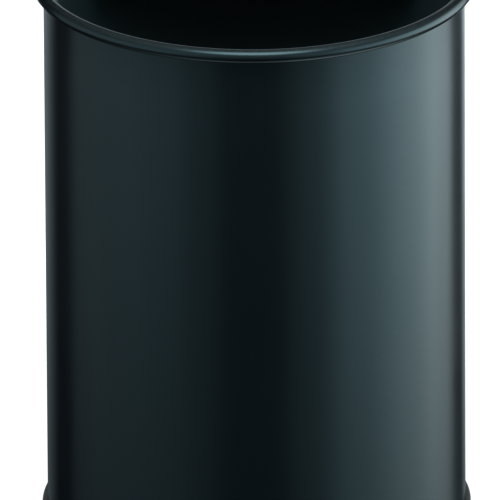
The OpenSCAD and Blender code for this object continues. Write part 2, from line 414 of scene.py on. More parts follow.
def bare_metal(name, colour, low, high, lines, dusty=0.2, depth=0.000012):
    """Bare or plated metal with hair lines. lines is how finely they vary along X, Y and Z."""
    material, tree, shader = new_material(name, Metallic=1.0)
    hairs = use(tree, line_group, Along_X=lines[0], Along_Y=lines[1], Along_Z=lines[2])
    dust = use(tree, dust_group, Amount=dusty)["Mask"]
    darker = tuple(HAIR_SHADE * channel for channel in colour)
    toned = mixed_colour(tree, hairs["Tone"], (*darker, 1), (*colour, 1))
    tree.links.new(mixed_colour(tree, dust, toned, (*DUST, 1)), shader.inputs["Base Color"])
    cloud = use(tree, cloud_group, Low=low, High=high, Patches_per_metre=METAL_PATCHES)["Value"]
    dulled = math_node(tree, "MULTIPLY", dust, DUSTY_METAL_ROUGHNESS)
    rough = math_node(tree, "ADD", cloud, dulled, clamp=True)
    tree.links.new(rough, shader.inputs["Roughness"])
    bump(tree, shader, hairs["Height"], depth)
    return material


# %% [markdown]
# The coats and plastics differ in how dark and how rough they are. The numbers after the two
# colours are the lowest and highest roughness and the amount of dust. The shell's gloss paint
# is nearly black, and all that shows of its cool cast is in its reflections, so its sheen is
# tinted. The ring and the grip have a finer and deeper grain, which their moulds leave.

# %% Coats and plastics
COOL_SHEEN = (0.62, 0.93, 1.0, 1)
RUBBED_PLASTIC = (0.03, 0.03, 0.03)
MOULD_GRAIN = 0.00004
POLISHED_GRAIN = 0.00001

shell_paint = coated(
    "shell_paint", (0.0020, 0.0034, 0.0042), (0.012, 0.014, 0.015), 0.17, 0.21, 0.05, rubs=0.12,
    sheen=COOL_SHEEN)
plate_paint = coated(
    "plate_paint", (0.0060, 0.0070, 0.0075), (0.03, 0.032, 0.033), 0.38, 0.48, 0.35)
liner_paint = coated(
    "liner_paint", (0.0140, 0.0255, 0.0280), (0.03, 0.031, 0.032), 0.40, 0.52, 0.30, rubs=0.5)
ring_plastic = coated(
    "ring_plastic", (0.010, 0.0105, 0.011), RUBBED_PLASTIC, 0.46, 0.56, 0.20, ripples=1400.0,
    depth=MOULD_GRAIN)
grip_plastic = coated(
    "grip_plastic", (0.008, 0.008, 0.008), RUBBED_PLASTIC, 0.42, 0.52, 0.15, ripples=1800.0,
    depth=MOULD_GRAIN)
knob_phenolic = coated(
    "knob_phenolic", (0.004, 0.004, 0.004), (0.02, 0.02, 0.02), 0.12, 0.2, 0.12, ripples=300.0,
    depth=POLISHED_GRAIN)

# %% [markdown]
# A bare metal has no paint, so its colour is the colour of its reflections. After the roughness
# come the three line counts. The tray's sheet was rolled along X and the grille's along Y. Wire,
# rivets and screws have an even grain.

# %% Bare metals
tray_steel = bare_metal("tray_steel", (0.60, 0.61, 0.62), 0.24, 0.32, (8, 1100, 1100))
grille_steel = bare_metal("grille_steel", (0.62, 0.62, 0.63), 0.26, 0.36, (1100, 8, 1100))
zinc_wire = bare_metal("zinc_wire", (0.58, 0.60, 0.63), 0.28, 0.40, (160, 160, 160))
zinc_sheet = bare_metal("zinc_sheet", (0.56, 0.58, 0.60), 0.30, 0.44, (500, 500, 20))
rim_wire_steel = bare_metal("rim_wire_steel", (0.38, 0.38, 0.38), 0.35, 0.5, (300, 300, 300))
insert_brass = bare_metal("insert_brass", (0.72, 0.50, 0.20), 0.25, 0.35, (600, 600, 30))
rivet_metal = bare_metal("rivet_metal", (0.70, 0.71, 0.72), 0.25, 0.38, (700, 700, 700))
print("materials:", len(bpy.data.materials))

# %% [markdown]
# ## The bin's main sizes
# The outer sizes come from the frame's own boxes, so the pieces fit the CAD without being
# placed by eye. What a box can't tell, such as the sheet's thickness, is named here.

# %% Main sizes
SHEET = 0.0008
rim_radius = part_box("outer_body")[1].x
rim_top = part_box("outer_body")[1].z
shell_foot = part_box("outer_body")[0].z
CURL = 0.004
curl_centre = rim_radius - CURL
curl_z = rim_top - CURL
shell_inside = curl_centre - CURL
shell_outside = shell_inside + SHEET
CURL_TURN = 285.0
print(f"wall radius {shell_outside * 1000:.1f} mm, bead {2000 * CURL:.1f} mm thick")

# %% [markdown]
# ## The shell
# The wall is one rolled sheet whose top edge is curled outwards round a wire. The section is
# drawn on the face that ends up outside on the bead, which is the inside of the wall, and the
# thickness goes on after the turn. The curl stops short of the wall, as a real one does.

# %% Shell wall
bm, tip = start_section(shell_inside, shell_foot)
tip = line(bm, tip, shell_inside, curl_z, parts=10)
arc(bm, tip, curl_centre, curl_z, CURL_TURN, parts=40)
turn(bm)
thicken(bm, SHEET)
piece("shell_wall", bm, "shell", shell_paint, ["outer_body"])

# %% [markdown]
# The sheet's two edges lap at the back. The lap is a narrow strip that stands almost one sheet
# proud. It is a short stretch of a turned section, and its edges are bevelled, because rolling
# dulls them. The bevels stay crisp, so that the strip's long faces are shaded flat to their ends.

# %% Lapped seam
SEAM_HALF_WIDTH = 0.006
SEAM_ABOVE_RING = 0.004
SEAM_BELOW_CURL = 0.002
SEAM_PROUD = 0.95

seam_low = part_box("base_ring")[1].z + SEAM_ABOVE_RING
seam_high = curl_z - CURL - SEAM_BELOW_CURL
seam_half_angle = math.degrees(math.asin(SEAM_HALF_WIDTH / shell_outside))
seam_face = shell_outside + SHEET * SEAM_PROUD
seam_root = shell_outside - SHEET / 2

bm, first = start_section(seam_root, seam_low)
tip = line(bm, first, seam_face, seam_low)
tip = line(bm, tip, seam_face, seam_high, parts=12)
tip = line(bm, tip, seam_root, seam_high)
close(bm, tip, first)
turn(bm, steps=16, degrees=2 * seam_half_angle, start=90 - seam_half_angle)
bmesh.ops.holes_fill(bm, edges=bm.edges[:], sides=0)
bmesh.ops.recalc_face_normals(bm, faces=bm.faces[:])
square_edges = [edge for edge in bm.edges if edge.calc_face_angle(0) > SQUARE]
round_off(bm, square_edges, SHEET / 4, 2)
piece("seam_lap", bm, "shell", shell_paint, crisp=12)

# %% [markdown]
# A row of spot welds holds the lap. Under the paint each one is a low round bump, so each is a
# ball that is pressed almost flat.

# %% Spot welds
WELD_RADIUS = 0.0023
WELD_COUNT = 9
WELD_FLATNESS = 0.12

bm = bmesh.new()
for number in range(WELD_COUNT):
    height = seam_low + (seam_high - seam_low) * (number + 0.5) / WELD_COUNT
    spot = Matrix.Translation((0, seam_face, height)) @ Matrix.Rotation(math.radians(-90), 4, "X")
    dome = bmesh.ops.create_uvsphere(bm, u_segments=24, v_segments=12, radius=WELD_RADIUS)["verts"]
    bmesh.ops.scale(bm, verts=dome, vec=(1, 1, WELD_FLATNESS))
    bmesh.ops.transform(bm, verts=dome, matrix=spot)
piece("seam_welds", bm, "shell", shell_paint)

# %% [markdown]
# ## The base ring
# The moulded ring clips on the wall's lower edge and keeps the steel off the ground. Its
# section is a closed loop, so it needs no thickness. The top edge is well rounded, and the foot
# has small chamfers from the mould.

# %% Base ring
ring_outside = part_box("base_ring")[1].x
ring_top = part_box("base_ring")[1].z
RING_WIDTH = 0.017
RING_FLOOR = 0.003
RING_ROUND = 0.002
RING_GAP = 0.0001
CHAMFER = 0.0006
TONGUE = 0.002
TONGUE_TOP = 0.0075

ring_inside = ring_outside - RING_WIDTH
groove_outside = shell_outside + RING_GAP
groove_inside = shell_inside - SHEET - 2 * RING_GAP
bm, first = start_section(ring_inside + CHAMFER, 0)
tip = line(bm, first, ring_outside - CHAMFER, 0, parts=3)
tip = line(bm, tip, ring_outside, CHAMFER)
tip = line(bm, tip, ring_outside, ring_top - RING_ROUND, parts=3)
tip = arc(bm, tip, ring_outside - RING_ROUND, ring_top - RING_ROUND, -90, parts=10)
tip = line(bm, tip, groove_outside, ring_top)
tip = line(bm, tip, groove_outside, RING_FLOOR)
tip = line(bm, tip, groove_inside, RING_FLOOR)
tip = line(bm, tip, groove_inside, TONGUE_TOP)
tip = line(bm, tip, groove_inside - TONGUE, TONGUE_TOP)
tip = line(bm, tip, groove_inside - TONGUE, RING_FLOOR)
tip = line(bm, tip, ring_inside, RING_FLOOR)
tip = line(bm, tip, ring_inside, CHAMFER)
close(bm, tip, first)
turn(bm)
piece("foot_ring", bm, "shell", ring_plastic, ["base_ring"])

# %% [markdown]
# ## Pressed floors
# Both floors are shallow pans pressed from sheet, with a raised ring that stops them drumming
# and an edge turned down inside the wall. One function makes both, because only the sizes
# differ. The sharp corners of the raised ring are beveled in the section, before the turn.

# %% Pressed floor tool
def pressed_floor(radius, top, foot, swage_radius, swage_height, corner):
    """A floor pan. top is its upper face, and foot the lower edge of its turned-down rim."""
    bm, tip = start_section(0, top)
    low_side = line(bm, tip, swage_radius - swage_height, top, parts=4)
    high_side = arc(bm, low_side, swage_radius, top, 180, parts=16)
    tip = line(bm, high_side, radius - corner, top, parts=4)
    tip = arc(bm, tip, radius - corner, top - corner, 90, parts=8)
    line(bm, tip, radius, foot)
    round_off(bm, [low_side, high_side], swage_height / 3, 4, affect="VERTICES")
    turn(bm, steps=192)
    thicken(bm, SHEET, flat=True)
    return bm


# %% [markdown]
# The bin's own floor has a bold ring and carries the liner on its flat. The liner's floor has
# only a shallow ring, so that litter doesn't catch on it.

# %% Both floors
FLOOR_TOP = 0.0168
FLOOR_CORNER = 0.003
SWAGE_RADIUS = 0.072
SWAGE_HEIGHT = 0.0036
LINER_FLOOR_CORNER = 0.002
LINER_SWAGE_RADIUS = 0.082
LINER_SWAGE_HEIGHT = 0.0015

floor_low, floor_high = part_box("base_plate")
bm = pressed_floor(floor_high.x, FLOOR_TOP, floor_low.z, SWAGE_RADIUS, SWAGE_HEIGHT, FLOOR_CORNER)
piece("floor_pan", bm, "shell", plate_paint, ["base_plate"])

liner_floor_low, liner_floor_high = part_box("liner_floor")
bm = pressed_floor(
    liner_floor_high.x, liner_floor_high.z, liner_floor_low.z, LINER_SWAGE_RADIUS,
    LINER_SWAGE_HEIGHT, LINER_FLOOR_CORNER)
piece("liner_pan", bm, "liner", liner_paint, ["liner_floor"])

# %% [markdown]
# ## The liner
# The liner is a plain bucket that narrows a little towards its foot. The bail's pins and the
# rivets go through its wall, so the wall gets real holes: a boolean modifier cuts them, and its
# result becomes the mesh.

# %% Cutting tool
def cut(target, cutter_bm):
    """Cuts the cutter's shape out of the target and removes the cutter."""
    cutter = new_object("cutter", cutter_bm)
    modifier = target.modifiers.new("holes", "BOOLEAN")
    modifier.operation = "DIFFERENCE"
    modifier.solver = "EXACT"
    modifier.object = cutter
    scene_now = bpy.context.evaluated_depsgraph_get()
    cut_mesh = bpy.data.meshes.new_from_object(target.evaluated_get(scene_now))
    target.modifiers.clear()
    target.data = cut_mesh
    bpy.data.objects.remove(cutter)


def add_rod(bm, radius, length, place, sides=24):
    """Adds a plain rod to a cutter, with its axis along the place's Z."""
    bmesh.ops.create_cone(
        bm, cap_ends=True, segments=sides, radius1=radius, radius2=radius, depth=length, matrix=place)


# %% [markdown]
# Two lugs lie against the inside of the liner's wall, a little to the front of its middle, and
# carry the bail. The pivot's place is read from the frame's joint, and rivets sit above and below.
# Each rivet's place is a matrix whose Z axis points outwards through the wall.

# %% Liner sizes
liner_low, liner_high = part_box("liner_bucket")
LINER_CURL = 0.0022
LINER_TAPER = 0.003
liner_curl_centre = liner_high.x - LINER_CURL
liner_curl_z = liner_high.z - LINER_CURL
liner_inside_top = liner_curl_centre - LINER_CURL
liner_inside_foot = liner_inside_top - LINER_TAPER
PIVOT = Vector(next(joint for joint in frame["joints"] if joint["name"] == "bail_pivot")["pos_m"])
RIVET_RISE = 0.011
LUG_SHEET = 0.0015
LUG_HALF_HEIGHT = 0.017
FIT = 0.0002
WIRE = 0.002
RIVET = 0.0015


def liner_inside_at(z):
    """The radius of the liner's inner face at a height."""
    return liner_inside_foot + LINER_TAPER * (z - liner_low.z) / (liner_curl_z - liner_low.z)


lug_outside = liner_inside_at(PIVOT.z - LUG_HALF_HEIGHT) - FIT
lug_inside = lug_outside - LUG_SHEET
lug_turn = math.asin(-PIVOT.y / lug_outside)


def rivet_places():
    """The four rivets' places, each with Z pointing outwards through the wall."""
    for side in (0, math.pi):
        facing = -lug_turn if side == 0 else math.pi + lug_turn
        for rise in (-RIVET_RISE, RIVET_RISE):
            turned = Matrix.Translation((0, 0, PIVOT.z + rise)) @ Matrix.Rotation(facing, 4, "Z")
            yield turned @ Z_ALONG_X


print(f"bail pivots {PIVOT.z * 1000:.1f} mm high, lugs turned {math.degrees(lug_turn):.1f} degrees")

# %% [markdown]
# The wall itself is made like the shell's: a leaning line and a small curl, turned and then
# thickened. The rods that cut its holes are a little wider than the pins and rivets.

# %% Liner wall
HOLE_DEPTH = 0.012
PIN_HOLE_GAP = 0.0005
RIVET_GAP = 0.00005

bm, tip = start_section(liner_inside_foot, liner_low.z)
tip = line(bm, tip, liner_inside_top, liner_curl_z, parts=12)
arc(bm, tip, liner_curl_centre, liner_curl_z, CURL_TURN, parts=28)
turn(bm, steps=224)
thicken(bm, SHEET)
liner_wall = piece("liner_wall", bm, "liner", liner_paint, ["liner_bucket"])

cutter_bm = bmesh.new()
for side in (-1, 1):
    pin_hole = Matrix.Translation((side * (lug_outside + SHEET), PIVOT.y, PIVOT.z)) @ Z_ALONG_X
    add_rod(cutter_bm, WIRE + PIN_HOLE_GAP, HOLE_DEPTH, pin_hole)
for place in rivet_places():
    rivet_hole = place @ Matrix.Translation((0, 0, lug_outside + SHEET))
    add_rod(cutter_bm, RIVET + RIVET_GAP, HOLE_DEPTH, rivet_hole)
cut(liner_wall, cutter_bm)
print("liner wall:", len(liner_wall.data.polygons), "faces after cutting")

# %% [markdown]
# ## Rivets
# The lugs are held by blind rivets. Each has a low dome inside the liner, with the small dark
# pit where its mandrel broke off, and a rounded bulb outside. A loop turns the same section four
# times, moves each rivet to its place and gathers them in one mesh.

# %% Lug rivets
RIVET_DOME = 0.003
DOME_HEIGHT = 0.001
DOME_EDGE_HEIGHT = 0.0002
PIT = 0.0007
PIT_FLOOR = 0.0003
BULB = 0.0026
BULB_HEIGHT = 0.0008
rivet_inner = lug_inside - FIT
rivet_outer = lug_outside + 2 * SHEET + FIT

bm = bmesh.new()
for place in rivet_places():
    rivet_bm, tip = start_section(0, rivet_inner - PIT_FLOOR)
    tip = line(rivet_bm, tip, PIT, rivet_inner - PIT_FLOOR)
    tip = line(rivet_bm, tip, PIT, rivet_inner - DOME_HEIGHT)
    tip = line(rivet_bm, tip, RIVET_DOME * 0.75, rivet_inner - DOME_HEIGHT * 0.8)
    tip = line(rivet_bm, tip, RIVET_DOME, rivet_inner - DOME_EDGE_HEIGHT)
    tip = line(rivet_bm, tip, RIVET_DOME, rivet_inner)
    tip = line(rivet_bm, tip, RIVET, rivet_inner)
    tip = line(rivet_bm, tip, RIVET, rivet_outer)
    tip = line(rivet_bm, tip, BULB, rivet_outer)
    tip = line(rivet_bm, tip, BULB, rivet_outer + BULB_HEIGHT / 2)
    tip = line(rivet_bm, tip, BULB * 0.6, rivet_outer + BULB_HEIGHT)
    line(rivet_bm, tip, 0, rivet_outer + BULB_HEIGHT)
    turn(rivet_bm, steps=32)
    bmesh.ops.transform(rivet_bm, verts=rivet_bm.verts[:], matrix=place)
    rivet_mesh = bpy.data.meshes.new("one_rivet")
    rivet_bm.to_mesh(rivet_mesh)
    rivet_bm.free()
    bm.from_mesh(rivet_mesh)
    bpy.data.meshes.remove(rivet_mesh)
piece("blind_rivets", bm, "liner", rivet_metal, ["lug_rivets"])

# %% [markdown]
# ## The bail
# The bail is one bent wire. A curve with a round bevel could make it, but here a ring of edges
# is carried along the way a wire bender works: straight out of the head, round the pin's bend,
# round the bow and out again. Each bend starts from the ring that the last one left, so the tube
# has no joints. It is drawn flat and then leant to its rest angle.

# %% Wire bending tools
def carry(bm, ring, step):
    """Extrudes a ring of edges along a straight step."""
    grown = bmesh.ops.extrude_edge_only(bm, edges=ring)["geom"]
    bmesh.ops.translate(bm, verts=verts_of(grown), vec=step)
    return edges_of(grown)


def bend(bm, ring, centre, degrees, parts):
    """Carries a ring of edges round a bend in the bail's plane."""
    return edges_of(sweep(bm, ring, centre, degrees, parts))


# %% [markdown]
# Each pin ends outside the liner in a flat head, a short cone with equal ends. The heads are
# separate closed shapes in the same mesh, and their edges are bevelled.

# %% Bail wire
BOW = 0.100
PIN_BEND = 0.005
BAIL_REST = math.radians(30)
HEAD = 0.00375
HEAD_THICK = 0.0015
HEAD_GAP = 0.0006
HEAD_EDGE = 0.0004

head_x = liner_inside_top + SHEET + HEAD_GAP
leant = Matrix.Translation(PIVOT) @ Matrix.Rotation(-BAIL_REST, 4, "X")

bm = bmesh.new()
bmesh.ops.create_circle(
    bm, cap_ends=False, segments=28, radius=WIRE,
    matrix=Matrix.Translation((head_x + HEAD_THICK / 2, 0, 0)) @ Z_ALONG_X)
ring = bm.edges[:]
straight = head_x + HEAD_THICK / 2 - BOW - PIN_BEND
ring = carry(bm, ring, (-straight, 0, 0))
ring = [edge for edge in ring if all(abs(v.co.x - BOW - PIN_BEND) < MERGE for v in edge.verts)]
ring = bend(bm, ring, (BOW + PIN_BEND, -PIN_BEND, 0), 90, 10)
ring = bend(bm, ring, (0, -PIN_BEND, 0), -180, 120)
ring = bend(bm, ring, (-BOW - PIN_BEND, -PIN_BEND, 0), 90, 10)
carry(bm, ring, (-straight, 0, 0))
bmesh.ops.holes_fill(bm, edges=bm.edges[:], sides=0)
bmesh.ops.recalc_face_normals(bm, faces=bm.faces[:])
for side in (-1, 1):
    head = bmesh.ops.create_cone(
        bm, cap_ends=True, segments=32, radius1=HEAD, radius2=HEAD, depth=HEAD_THICK,
        matrix=Matrix.Translation((side * (head_x + HEAD_THICK / 2), 0, 0)) @ Z_ALONG_X)["verts"]
    rims = [edge for edge in bm.edges if edge.verts[0] in head and edge.calc_face_angle(0) > SQUARE]
    round_off(bm, rims, HEAD_EDGE, 3)
bmesh.ops.transform(bm, verts=bm.verts[:], matrix=leant)
piece("bail_bow", bm, "bail", zinc_wire, ["bail_wire"])

# %% [markdown]
# ## The grip
# The grip is a moulded tube that follows the bow. It is turned straight, with finger ridges and
# rounded ends, and then every vertex is moved so that the tube's axis lies along the bow. That
# is simpler than turning ridges round a bend.

# %% Bail grip
GRIP = 0.007
GRIP_HALF = 0.038
GRIP_BORE = WIRE + FIT
END_ROUND = 0.002
RIDGES = 7
RIDGE_STEPS = 8
RIDGE_DEPTH = 0.0006

bm, first = start_section(GRIP_BORE, -GRIP_HALF)
tip = line(bm, first, GRIP - END_ROUND, -GRIP_HALF)
tip = arc(bm, tip, GRIP - END_ROUND, -GRIP_HALF + END_ROUND, -90, parts=6)
ridge_pitch = 2 * (GRIP_HALF - 2 * END_ROUND) / RIDGES
tip = line(bm, tip, GRIP, -GRIP_HALF + 2 * END_ROUND, parts=2)
for number in range(RIDGES):
    for part in range(1, RIDGE_STEPS + 1):
        along = (number + part / RIDGE_STEPS) * ridge_pitch
        dip = RIDGE_DEPTH * 0.5 * (1 - math.cos(math.tau * part / RIDGE_STEPS))
        tip = line(bm, tip, GRIP - dip, -GRIP_HALF + 2 * END_ROUND + along)
tip = line(bm, tip, GRIP, GRIP_HALF - END_ROUND, parts=2)
tip = arc(bm, tip, GRIP - END_ROUND, GRIP_HALF - END_ROUND, -90, parts=6)
tip = line(bm, tip, GRIP_BORE, GRIP_HALF)
tip = line(bm, tip, GRIP_BORE, -GRIP_HALF, parts=24)
close(bm, tip, first)
turn(bm, steps=48)
for vertex in bm.verts:
    across, height, along = vertex.co
    turned = along / BOW
    reach = BOW + across
    vertex.co = (reach * math.sin(turned), -PIN_BEND - reach * math.cos(turned), height)
bmesh.ops.recalc_face_normals(bm, faces=bm.faces[:])
bmesh.ops.transform(bm, verts=bm.verts[:], matrix=leant)
piece("moulded_grip", bm, "bail", grip_plastic, ["bail_grip"], crisp=50)

# %% [markdown]
# ## The ash tray
# The tray is pressed from stainless sheet. Seen from above it is a segment of a circle with
# rounded corners, and its floor, its wall and its flange all follow that outline. So one outline
# is drawn at the edge of the floor, and the ring of edges is extruded from level to level. At
# each level every point moves straight out from the outline, so that the corners stay round.

# %% Tray outline
TRAY_FRONT = 0.050
TRAY_GAP = 0.0017
TRAY_CORNER = 0.009
FRONT_PARTS = 24

tray_low, tray_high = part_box("ash_tray")
tray_radius = liner_inside_top - TRAY_GAP
corner_y = TRAY_FRONT + TRAY_CORNER
corner_x = math.sqrt((tray_radius - TRAY_CORNER)**2 - corner_y**2)


def tray_outline(bm, inset, z):
    """Draws the tray's outline at a level, moved in by inset, and returns its edges.

    The three arcs turn about fixed centres, so an inset first point gives an inset outline.
    """
    tilt = math.degrees(math.atan2(corner_y, corner_x))
    first = bm.verts.new((-corner_x, TRAY_FRONT + inset, z))
    tip = first
    for _ in range(FRONT_PARTS):
        tip = bmesh.ops.extrude_vert_indiv(bm, verts=[tip])["verts"][0]
        bmesh.ops.translate(bm, verts=[tip], vec=(2 * corner_x / FRONT_PARTS, 0, 0))
    for centre, degrees, parts in (
            ((corner_x, corner_y, z), 90 + tilt, 16),
            ((0, 0, z), 180 - 2 * tilt, 96),
            ((-corner_x, corner_y, z), 90 + tilt, 16)):
        tip = verts_of(sweep(bm, [tip], centre, degrees, parts))[0]
    bmesh.ops.weld_verts(bm, targetmap={tip: first})
    return bm.edges[:]


def out_of_tray(place):
    """The level direction that faces out of the outline at a point on it."""
    if abs(place.x) < corner_x and place.y < corner_y:
        return Vector((0, -1, 0))
    on_back = abs(place.y) * corner_x > corner_y * abs(place.x)
    centre = Vector((0, 0)) if on_back else Vector((math.copysign(corner_x, place.x), corner_y))
    return (place.xy - centre).normalized().to_3d()


def next_level(bm, ring, outwards, up):
    """Extrudes the ring of edges outwards and up, and returns the new ring."""
    grown = bmesh.ops.extrude_edge_only(bm, edges=ring)["geom"]
    for vertex in verts_of(grown):
        vertex.co += out_of_tray(vertex.co) * outwards + Vector((0, 0, up))
    return edges_of(grown)


def round_corner(bm, ring, radius, start, end, parts=6):
    """Carries the ring round a bend. The angles are the bend's own, from outwards to upwards."""
    for part in range(parts):
        before = math.radians(start + (end - start) * part / parts)
        after = math.radians(start + (end - start) * (part + 1) / parts)
        outwards = radius * (math.cos(after) - math.cos(before))
        ring = next_level(bm, ring, outwards, radius * (math.sin(after) - math.sin(before)))
    return ring


print(f"tray {2000 * tray_radius:.1f} mm across its arc, {TRAY_CORNER * 1000:.0f} mm corners")

# %% [markdown]
# The pan is built from the floor up: a round foot, a straight wall, a round top edge and the
# flange. The faces made are the inner skin, and the thickness goes on outside and below them.

# %% Tray pan
FOOT_ROUND = 0.003
TOP_ROUND = 0.0015
FLANGE_OUT = 0.0058

bm = bmesh.new()
ring = tray_outline(bm, SHEET + FOOT_ROUND, tray_low.z + SHEET)
bmesh.ops.contextual_create(bm, geom=ring)
ring = round_corner(bm, ring, FOOT_ROUND, -90, 0)
ring = next_level(bm, ring, 0, tray_high.z - tray_low.z - SHEET - FOOT_ROUND - TOP_ROUND)
ring = round_corner(bm, ring, TOP_ROUND, 180, 90)
next_level(bm, ring, FLANGE_OUT + SHEET - TOP_ROUND, 0)
bmesh.ops.recalc_face_normals(bm, faces=bm.faces[:])
thicken(bm, SHEET, flat=True)
piece("tray_pan", bm, "tray", tray_steel, ["ash_tray"])

# %% [markdown]
# At the back the flange turns down and hooks over the liner's rim. That hook follows the rim,
# so it is a part turn of a short section. It starts exactly where the flange ends.

# %% Tray hook
HOOK_HALF_ANGLE = 54.0
HOOK_DROP = 0.007

flange_edge = tray_radius + FLANGE_OUT

bm, tip = start_section(flange_edge, tray_high.z)
tip = arc(bm, tip, flange_edge, tray_high.z - TOP_ROUND, 90, parts=8)
line(bm, tip, flange_edge + TOP_ROUND, tray_high.z - HOOK_DROP, parts=2)
turn(bm, steps=96, degrees=2 * HOOK_HALF_ANGLE, start=90 - HOOK_HALF_ANGLE)
thicken(bm, SHEET)
piece("tray_hook", bm, "tray", tray_steel)

# %% [markdown]
# ## The stub grille
# The grille is a shallow cover that stands in the tray. The outline is extruded into a skirt and
# the top edge is rounded before the sheet gets its thickness.

# %% Stub grille
GRILLE_GAP = 0.0012
GRILLE_CORNER = 0.004
GRILLE_ROUND = 0.0015

grille_low, grille_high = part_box("stub_grille")
grille_front = grille_low.y
grille_radius = tray_radius - SHEET - GRILLE_GAP
grille_half = grille_high.x
half_span = math.degrees(math.asin(grille_half / grille_radius))
grille_side_back = math.sqrt(grille_radius**2 - grille_half**2)

bm = bmesh.new()
front_left = bm.verts.new((-grille_half, grille_front, grille_high.z))
front_right = bm.verts.new((grille_half, grille_front, grille_high.z))
back_right = bm.verts.new((grille_half, grille_side_back, grille_high.z))
bm.edges.new((front_left, front_right))
bm.edges.new((front_right, back_right))
back_left = verts_of(sweep(bm, [back_right], (0, 0, grille_high.z), 2 * half_span, 36))[0]
bm.edges.new((back_left, front_left))
round_off(bm, [front_left, front_right], GRILLE_CORNER, 8, affect="VERTICES")
bmesh.ops.contextual_create(bm, geom=bm.edges[:])
border = bm.edges[:]
skirt = bmesh.ops.extrude_edge_only(bm, edges=border)["geom"]
bmesh.ops.translate(bm, verts=verts_of(skirt), vec=(0, 0, grille_low.z - grille_high.z))
bmesh.ops.recalc_face_normals(bm, faces=bm.faces[:])
round_off(bm, border, GRILLE_ROUND, 4)
thicken(bm, SHEET, flat=True)
grille_cover = piece("grille_cover", bm, "grille", grille_steel, ["stub_grille"])

# %% [markdown]
# The holes stand in staggered rows, as a press tool makes them, with a plain border and a plain
# seat round the knob. A loop tries every place of the pattern and keeps those that are clear of
# both. All the rods are cut at once, because that is much faster than a boolean for each hole.

# %% Perforation
HOLE = 0.002
HOLE_PITCH = 0.009
HOLE_BORDER = 0.006
SEAT_BORDER = 0.001
ROWS = 9
COLUMNS_EACH_SIDE = 8
ROD_LENGTH = 0.006

knob_low, knob_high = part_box("grille_knob")
knob_y = (knob_low.y + knob_high.y) / 2
knob_radius = knob_high.x
row_step = HOLE_PITCH * math.sin(math.radians(60))
first_row = grille_front + HOLE_BORDER + HOLE

cutter_bm = bmesh.new()
holes = 0
for row in range(ROWS):
    for column in range(-COLUMNS_EACH_SIDE, COLUMNS_EACH_SIDE + 1):
        x = (column + (row % 2) / 2) * HOLE_PITCH
        y = first_row + row * row_step
        inside = math.hypot(x, y) < grille_radius - HOLE_BORDER and abs(x) < grille_half - HOLE_BORDER
        if inside and math.hypot(x, y - knob_y) > knob_radius + HOLE + SEAT_BORDER:
            add_rod(cutter_bm, HOLE, ROD_LENGTH, Matrix.Translation((x, y, grille_high.z)), sides=28)
            holes += 1
cut(grille_cover, cutter_bm)
print("holes in the grille:", holes)

# %% [markdown]
# ## The lifting knob
# The knob is a hard glossy phenolic moulding. It has a foot, a straight waist for the fingers
# and a cap with a rounded edge and a slightly crowned top.

# %% Knob
FOOT_HEIGHT = 0.0015
FOOT_IN = 0.0005
FOOT_CHAMFER = (0.0002, 0.0003)
WAIST_IN = 0.0024
WAIST_SLOPE = 0.0012
CAP_HEIGHT = 0.006
CAP_CHAMFER = 0.0006
CAP_EDGE = 0.002
CROWN = 0.0006
CROWN_SHOULDER = 0.00025

foot_radius = knob_radius - FOOT_IN
foot_top = knob_low.z + FOOT_HEIGHT
waist = knob_radius - WAIST_IN
cap_low = knob_high.z - CAP_HEIGHT
cap_edge_z = knob_high.z - CROWN - CAP_EDGE

bm, tip = start_section(0, knob_low.z)
tip = line(bm, tip, foot_radius - FOOT_CHAMFER[0], knob_low.z, parts=3)
tip = line(bm, tip, foot_radius, knob_low.z + FOOT_CHAMFER[1])
tip = line(bm, tip, foot_radius, foot_top)
tip = line(bm, tip, waist, foot_top + WAIST_SLOPE)
tip = line(bm, tip, waist, cap_low - WAIST_SLOPE, parts=4)
tip = line(bm, tip, knob_radius - CAP_CHAMFER, cap_low)
tip = line(bm, tip, knob_radius, cap_low + CAP_CHAMFER)
tip = line(bm, tip, knob_radius, cap_edge_z)
tip = arc(bm, tip, knob_radius - CAP_EDGE, cap_edge_z, -90, parts=10)
tip = line(bm, tip, knob_radius * 0.4, knob_high.z - CROWN_SHOULDER, parts=2)
line(bm, tip, 0, knob_high.z)
turn(bm, steps=72)
bmesh.ops.translate(bm, verts=bm.verts[:], vec=(0, knob_y, 0))
piece("lifting_knob", bm, "grille", knob_phenolic, ["grille_knob"], crisp=40)

# %% [markdown]
# ## Nodes that stay as CAD made them
# Small pieces whose CAD shape is right keep it, and only get a finish.

# %% Finishes on CAD nodes
CAD_FINISHES = {
    "rim_wire": rim_wire_steel,
    "bail_lug_left": zinc_sheet,
    "bail_lug_right": zinc_sheet,
    "knob_insert": insert_brass,
    "knob_screw": zinc_wire,
    "knob_washer": zinc_wire,
}
for name, material in CAD_FINISHES.items():
    mesh = frame["nodes"][name].data
    mesh.materials.clear()
    mesh.materials.append(material)
print("CAD nodes kept:", ", ".join(CAD_FINISHES))

# %% [markdown]
# ## The floor
# The bin stands on a plain pale floor. Black paint mirrors what is round it, and a pale floor
# would turn it grey, so the floor is hidden from reflections. It glows a little, so that it
# stays white far from the bin as well, and still shows a soft shadow at the bin's foot.

# %% Floor
FLOOR_RADIUS = 2.4
FLOOR_DROP = 0.0003
FLOOR_GLOW = (1.0, 0.97, 0.96, 1)

floor_material, floor_tree, floor_shader = new_material(
    "floor_paint", Roughness=0.9, Specular_IOR_Level=0.0, Emission_Color=FLOOR_GLOW,
    Emission_Strength=0.8)
soft_tone = use(floor_tree, cloud_group, Low=0.48, High=0.51, Patches_per_metre=3.0)["Value"]
floor_tree.links.new(
    add(floor_tree, "ShaderNodeCombineColor", {0: soft_tone, 1: soft_tone, 2: soft_tone}).outputs[0],
    floor_shader.inputs["Base Color"])

